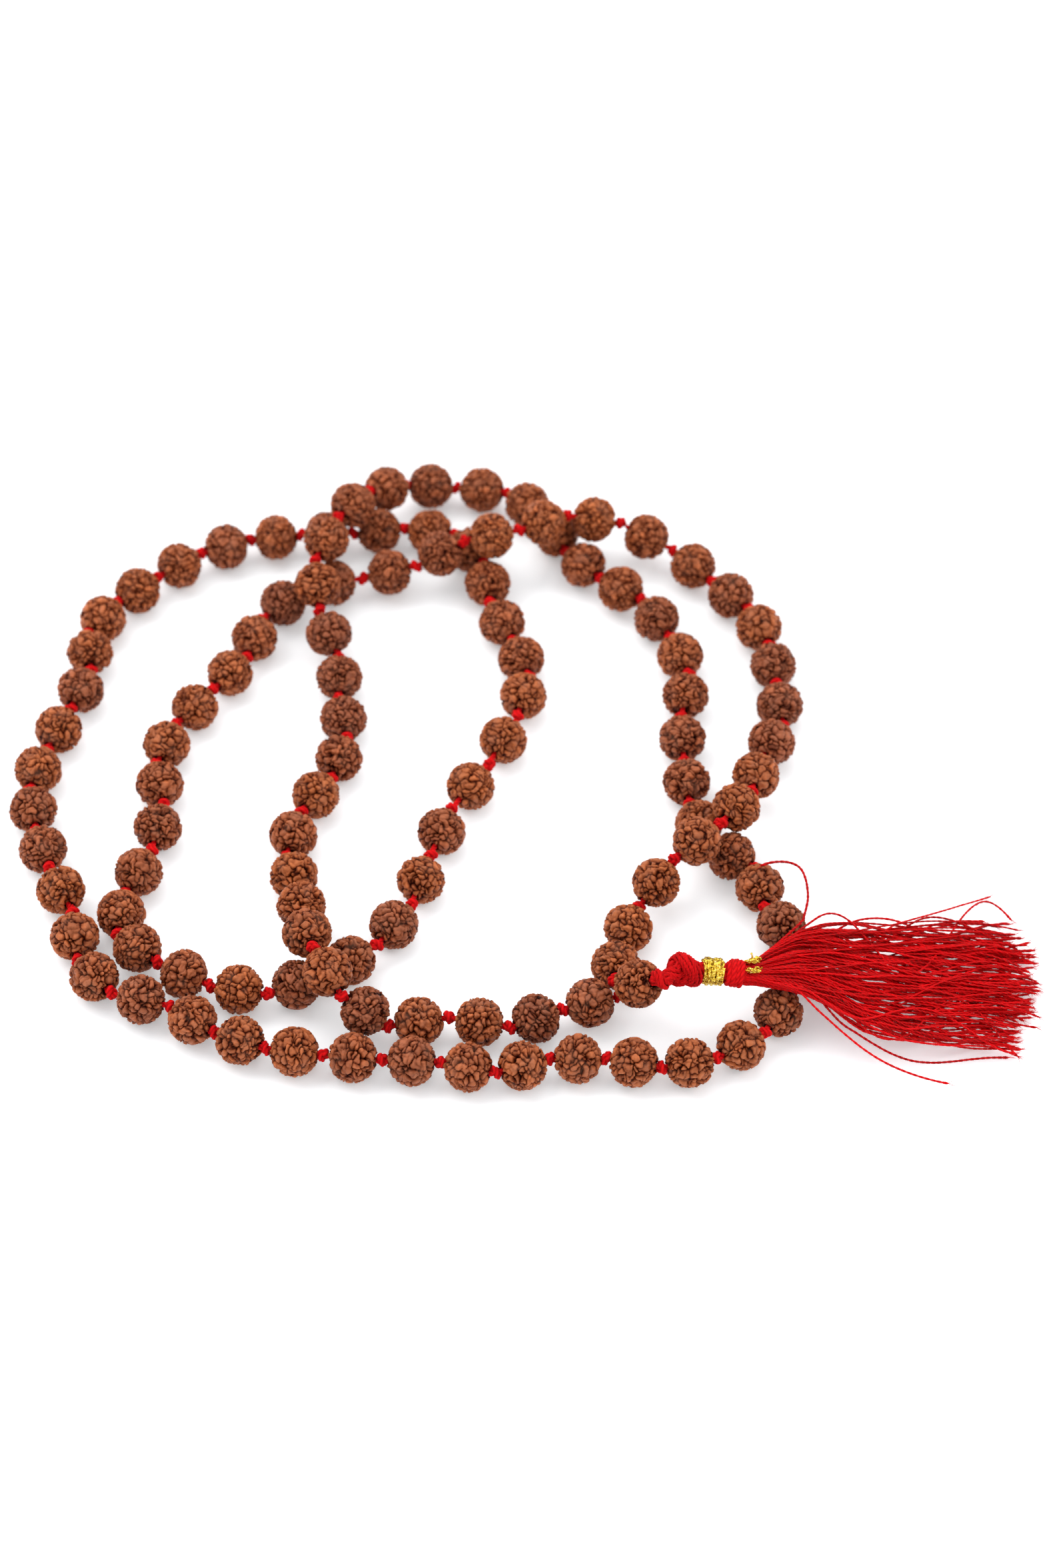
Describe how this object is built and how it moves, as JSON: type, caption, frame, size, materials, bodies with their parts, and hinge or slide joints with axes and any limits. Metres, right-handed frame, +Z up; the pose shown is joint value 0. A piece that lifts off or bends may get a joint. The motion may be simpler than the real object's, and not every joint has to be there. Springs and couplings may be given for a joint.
{
  "type": "mala prayer beads",
  "caption": "Loop of round wrinkled seed beads on a knotted red cord, lying in a loose coil, ending in a guru bead and a thread tassel with a gold binding.",
  "frame": {"origin": "point on the table under the middle of the coil", "axes": "+Z up from the table, +X towards the tassel, +Y away from the viewer"},
  "size_m": [0.1692, 0.1396, 0.0153],
  "materials": {
    "rudraksha": "satin, deeply wrinkled seed surface",
    "red_cord": "matte twisted cord",
    "red_thread": "slightly glossy twisted thread",
    "gold_thread": "metallic gold thread"
  },
  "bodies": {
    "strand_01": {"beads_01": "rudraksha", "cord_01": "red_cord"},
    "strand_02": {"beads_02": "rudraksha", "cord_02": "red_cord"},
    "strand_03": {"beads_03": "rudraksha", "cord_03": "red_cord"},
    "strand_04": {"beads_04": "rudraksha", "cord_04": "red_cord"},
    "strand_05": {"beads_05": "rudraksha", "cord_05": "red_cord"},
    "strand_06": {"beads_06": "rudraksha", "cord_06": "red_cord"},
    "strand_07": {"beads_07": "rudraksha", "cord_07": "red_cord"},
    "strand_08": {"beads_08": "rudraksha", "cord_08": "red_cord"},
    "strand_09": {"beads_09": "rudraksha", "cord_09": "red_cord"},
    "strand_10": {"beads_10": "rudraksha", "cord_10": "red_cord"},
    "strand_11": {"beads_11": "rudraksha", "cord_11": "red_cord"},
    "strand_12": {"beads_12": "rudraksha", "cord_12": "red_cord"},
    "strand_13": {"beads_13": "rudraksha", "cord_13": "red_cord"},
    "strand_14": {"beads_14": "rudraksha", "cord_14": "red_cord"},
    "strand_15": {"beads_15": "rudraksha", "cord_15": "red_cord"},
    "strand_16": {"beads_16": "rudraksha", "cord_16": "red_cord"},
    "strand_17": {"beads_17": "rudraksha", "cord_17": "red_cord"},
    "strand_18": {"beads_18": "rudraksha", "cord_18": "red_cord"},
    "strand_19": {"beads_19": "rudraksha", "cord_19": "red_cord"},
    "strand_20": {"beads_20": "rudraksha", "cord_20": "red_cord"},
    "strand_21": {"beads_21": "rudraksha", "cord_21": "red_cord"},
    "strand_22": {"beads_22": "rudraksha", "cord_22": "red_cord"},
    "strand_23": {"beads_23": "rudraksha", "cord_23": "red_cord"},
    "strand_24": {"beads_24": "rudraksha", "cord_24": "red_cord"},
    "guru_line": {"guru_cord": "red_cord"},
    "guru": {"guru_bead": "rudraksha"},
    "neck": {"neck_cord": "red_cord"},
    "tassel_head": {"head_knot": "red_cord", "gold_wrap": "gold_thread", "red_wrap": "red_cord"},
    "lock_1": {"thread_lock_1": "red_thread", "stray_threads_back": "red_thread"},
    "lock_2": {"thread_lock_2": "red_thread"},
    "lock_3": {"thread_lock_3": "red_thread"},
    "lock_4": {"thread_lock_4": "red_thread", "stray_threads_front": "red_thread"}
  },
  "joints": [
    {"name": "strand_02_lift", "type": "hinge", "parent": "strand_01", "child": "strand_02", "pos_m": [0.00774, 0.05163, 0.0039], "axis": [-0.8207, -0.5713, 0], "range_deg": [0, 28]},
    {"name": "strand_02_level", "type": "hinge", "parent": "strand_02", "child": "strand_03", "pos_m": [0.02871, 0.02151, 0.0042], "axis": [-0.8207, -0.5713, 0], "range_deg": [-28, 0]},
    {"name": "strand_04_lift", "type": "hinge", "parent": "strand_03", "child": "strand_04", "pos_m": [0.03818, -0.02222, 0.00397], "axis": [-0.9999, -0.0109, 0], "range_deg": [0, 20]},
    {"name": "strand_04_level", "type": "hinge", "parent": "strand_04", "child": "strand_05", "pos_m": [0.03856, -0.05674, 0.00403], "axis": [-0.9999, -0.0109, 0], "range_deg": [-20, 0]},
    {"name": "strand_06_lift", "type": "hinge", "parent": "strand_05", "child": "strand_06", "pos_m": [-0.00423, -0.06471, 0.00399], "axis": [0.1244, 0.9922, 0], "range_deg": [0, 28]},
    {"name": "strand_06_level", "type": "hinge", "parent": "strand_06", "child": "strand_07", "pos_m": [-0.04083, -0.06012, 0.0043], "axis": [0.1244, 0.9922, 0], "range_deg": [-28, 0]},
    {"name": "strand_08_lift", "type": "hinge", "parent": "strand_07", "child": "strand_08", "pos_m": [-0.07355, -0.03184, 0.00422], "axis": [0.9814, 0.1917, 0], "range_deg": [0, 28]},
    {"name": "strand_08_level", "type": "hinge", "parent": "strand_08", "child": "strand_09", "pos_m": [-0.08059, 0.00424, 0.00392], "axis": [0.9814, 0.1917, 0], "range_deg": [-28, 0]},
    {"name": "strand_10_lift", "type": "hinge", "parent": "strand_09", "child": "strand_10", "pos_m": [-0.06433, 0.04505, 0.00402], "axis": [0.3126, -0.9499, 0], "range_deg": [0, 28]},
    {"name": "strand_10_level", "type": "hinge", "parent": "strand_10", "child": "strand_11", "pos_m": [-0.03011, 0.05631, 0.00394], "axis": [0.3126, -0.9499, 0], "range_deg": [-28, 0]},
    {"name": "strand_12_lift", "type": "hinge", "parent": "strand_11", "child": "strand_12", "pos_m": [-0.0016, 0.02975, 0.00376], "axis": [-0.9674, 0.2534, 0], "range_deg": [0, 28]},
    {"name": "strand_12_level", "type": "hinge", "parent": "strand_12", "child": "strand_13", "pos_m": [-0.01174, -0.00899, 0.00403], "axis": [-0.9674, 0.2534, 0], "range_deg": [-28, 0]},
    {"name": "strand_14_lift", "type": "hinge", "parent": "strand_13", "child": "strand_14", "pos_m": [-0.04097, -0.04878, 0.00411], "axis": [0.6572, 0.7537, 0], "range_deg": [0, 28]},
    {"name": "strand_14_level", "type": "hinge", "parent": "strand_14", "child": "strand_15", "pos_m": [-0.06527, -0.02759, 0.0036], "axis": [0.6572, 0.7537, 0], "range_deg": [-28, 0]},
    {"name": "strand_16_lift", "type": "hinge", "parent": "strand_15", "child": "strand_16", "pos_m": [-0.05304, 0.018, 0.00421], "axis": [0.7357, -0.6773, 0], "range_deg": [0, 28]},
    {"name": "strand_16_level", "type": "hinge", "parent": "strand_16", "child": "strand_17", "pos_m": [-0.0281, 0.04509, 0.00389], "axis": [0.7357, -0.6773, 0], "range_deg": [-28, 0]},
    {"name": "strand_18_lift", "type": "hinge", "parent": "strand_17", "child": "strand_18", "pos_m": [0.0173, 0.05511, 0.0076], "axis": [-0.7219, -0.692, 0], "range_deg": [0, 28]},
    {"name": "strand_18_level", "type": "hinge", "parent": "strand_18", "child": "strand_19", "pos_m": [0.04277, 0.02853, 0.00402], "axis": [-0.7219, -0.692, 0], "range_deg": [-28, 0]},
    {"name": "strand_20_lift", "type": "hinge", "parent": "strand_19", "child": "strand_20", "pos_m": [0.03261, -0.01792, 0.01039], "axis": [-0.8591, 0.5119, 0], "range_deg": [0, 14]},
    {"name": "strand_20_level", "type": "hinge", "parent": "strand_20", "child": "guru_line", "pos_m": [0.01477, -0.04785, 0.00646], "axis": [-0.8591, 0.5119, 0], "range_deg": [-14, 0]},
    {"name": "strand_21_lift", "type": "hinge", "parent": "guru_line", "child": "strand_21", "pos_m": [0.01526, -0.04998, 0.00479], "axis": [-0.1441, 0.9896, 0], "range_deg": [0, 9]},
    {"name": "strand_21_level", "type": "hinge", "parent": "strand_21", "child": "strand_22", "pos_m": [-0.0214, -0.05532, 0.00383], "axis": [-0.1441, 0.9896, 0], "range_deg": [-9, 0]},
    {"name": "strand_23_lift", "type": "hinge", "parent": "strand_22", "child": "strand_23", "pos_m": [-0.03918, -0.01946, 0.00357], "axis": [0.9867, -0.1626, 0], "range_deg": [0, 28]},
    {"name": "strand_23_level", "type": "hinge", "parent": "strand_23", "child": "strand_24", "pos_m": [-0.03176, 0.02556, 0.00443], "axis": [0.9867, -0.1626, 0], "range_deg": [-28, 0]},
    {"name": "guru_spin", "type": "hinge", "parent": "guru_line", "child": "guru", "pos_m": [0.01847, -0.05081, 0.00912], "axis": [0.6555, -0.3593, 0.6643], "continuous": true},
    {"name": "head_swing", "type": "hinge", "parent": "guru_line", "child": "neck", "pos_m": [0.02195, -0.05271, 0.01265], "axis": [0, 0, 1], "range_deg": [-6, 6]},
    {"name": "head_lift", "type": "hinge", "parent": "neck", "child": "tassel_head", "pos_m": [0.02577, -0.05, 0.0117], "axis": [0.0185, -0.9998, 0], "range_deg": [0, 50]},
    {"name": "thread_lock_1_lift", "type": "hinge", "parent": "tassel_head", "child": "lock_1", "pos_m": [0.0372, -0.04835, 0.01025], "axis": [0.2887, -0.9574, 0], "range_deg": [0, 24]},
    {"name": "thread_lock_2_lift", "type": "hinge", "parent": "tassel_head", "child": "lock_2", "pos_m": [0.0372, -0.04925, 0.01025], "axis": [0.1741, -0.9847, 0], "range_deg": [0, 24]},
    {"name": "thread_lock_3_lift", "type": "hinge", "parent": "tassel_head", "child": "lock_3", "pos_m": [0.0372, -0.05015, 0.01025], "axis": [0.0521, -0.9986, 0], "range_deg": [0, 24]},
    {"name": "thread_lock_4_lift", "type": "hinge", "parent": "tassel_head", "child": "lock_4", "pos_m": [0.0372, -0.05105, 0.01025], "axis": [-0.0723, -0.9974, 0], "range_deg": [0, 24]}
  ],
  "couplings": [
    {"joint": "strand_02_level", "follows": "strand_02_lift", "ratio": -1},
    {"joint": "strand_04_level", "follows": "strand_04_lift", "ratio": -1},
    {"joint": "strand_06_level", "follows": "strand_06_lift", "ratio": -1},
    {"joint": "strand_08_level", "follows": "strand_08_lift", "ratio": -1},
    {"joint": "strand_10_level", "follows": "strand_10_lift", "ratio": -1},
    {"joint": "strand_12_level", "follows": "strand_12_lift", "ratio": -1},
    {"joint": "strand_14_level", "follows": "strand_14_lift", "ratio": -1},
    {"joint": "strand_16_level", "follows": "strand_16_lift", "ratio": -1},
    {"joint": "strand_18_level", "follows": "strand_18_lift", "ratio": -1},
    {"joint": "strand_20_level", "follows": "strand_20_lift", "ratio": -1},
    {"joint": "strand_21_level", "follows": "strand_21_lift", "ratio": -1},
    {"joint": "strand_23_level", "follows": "strand_23_lift", "ratio": -1}
  ]
}
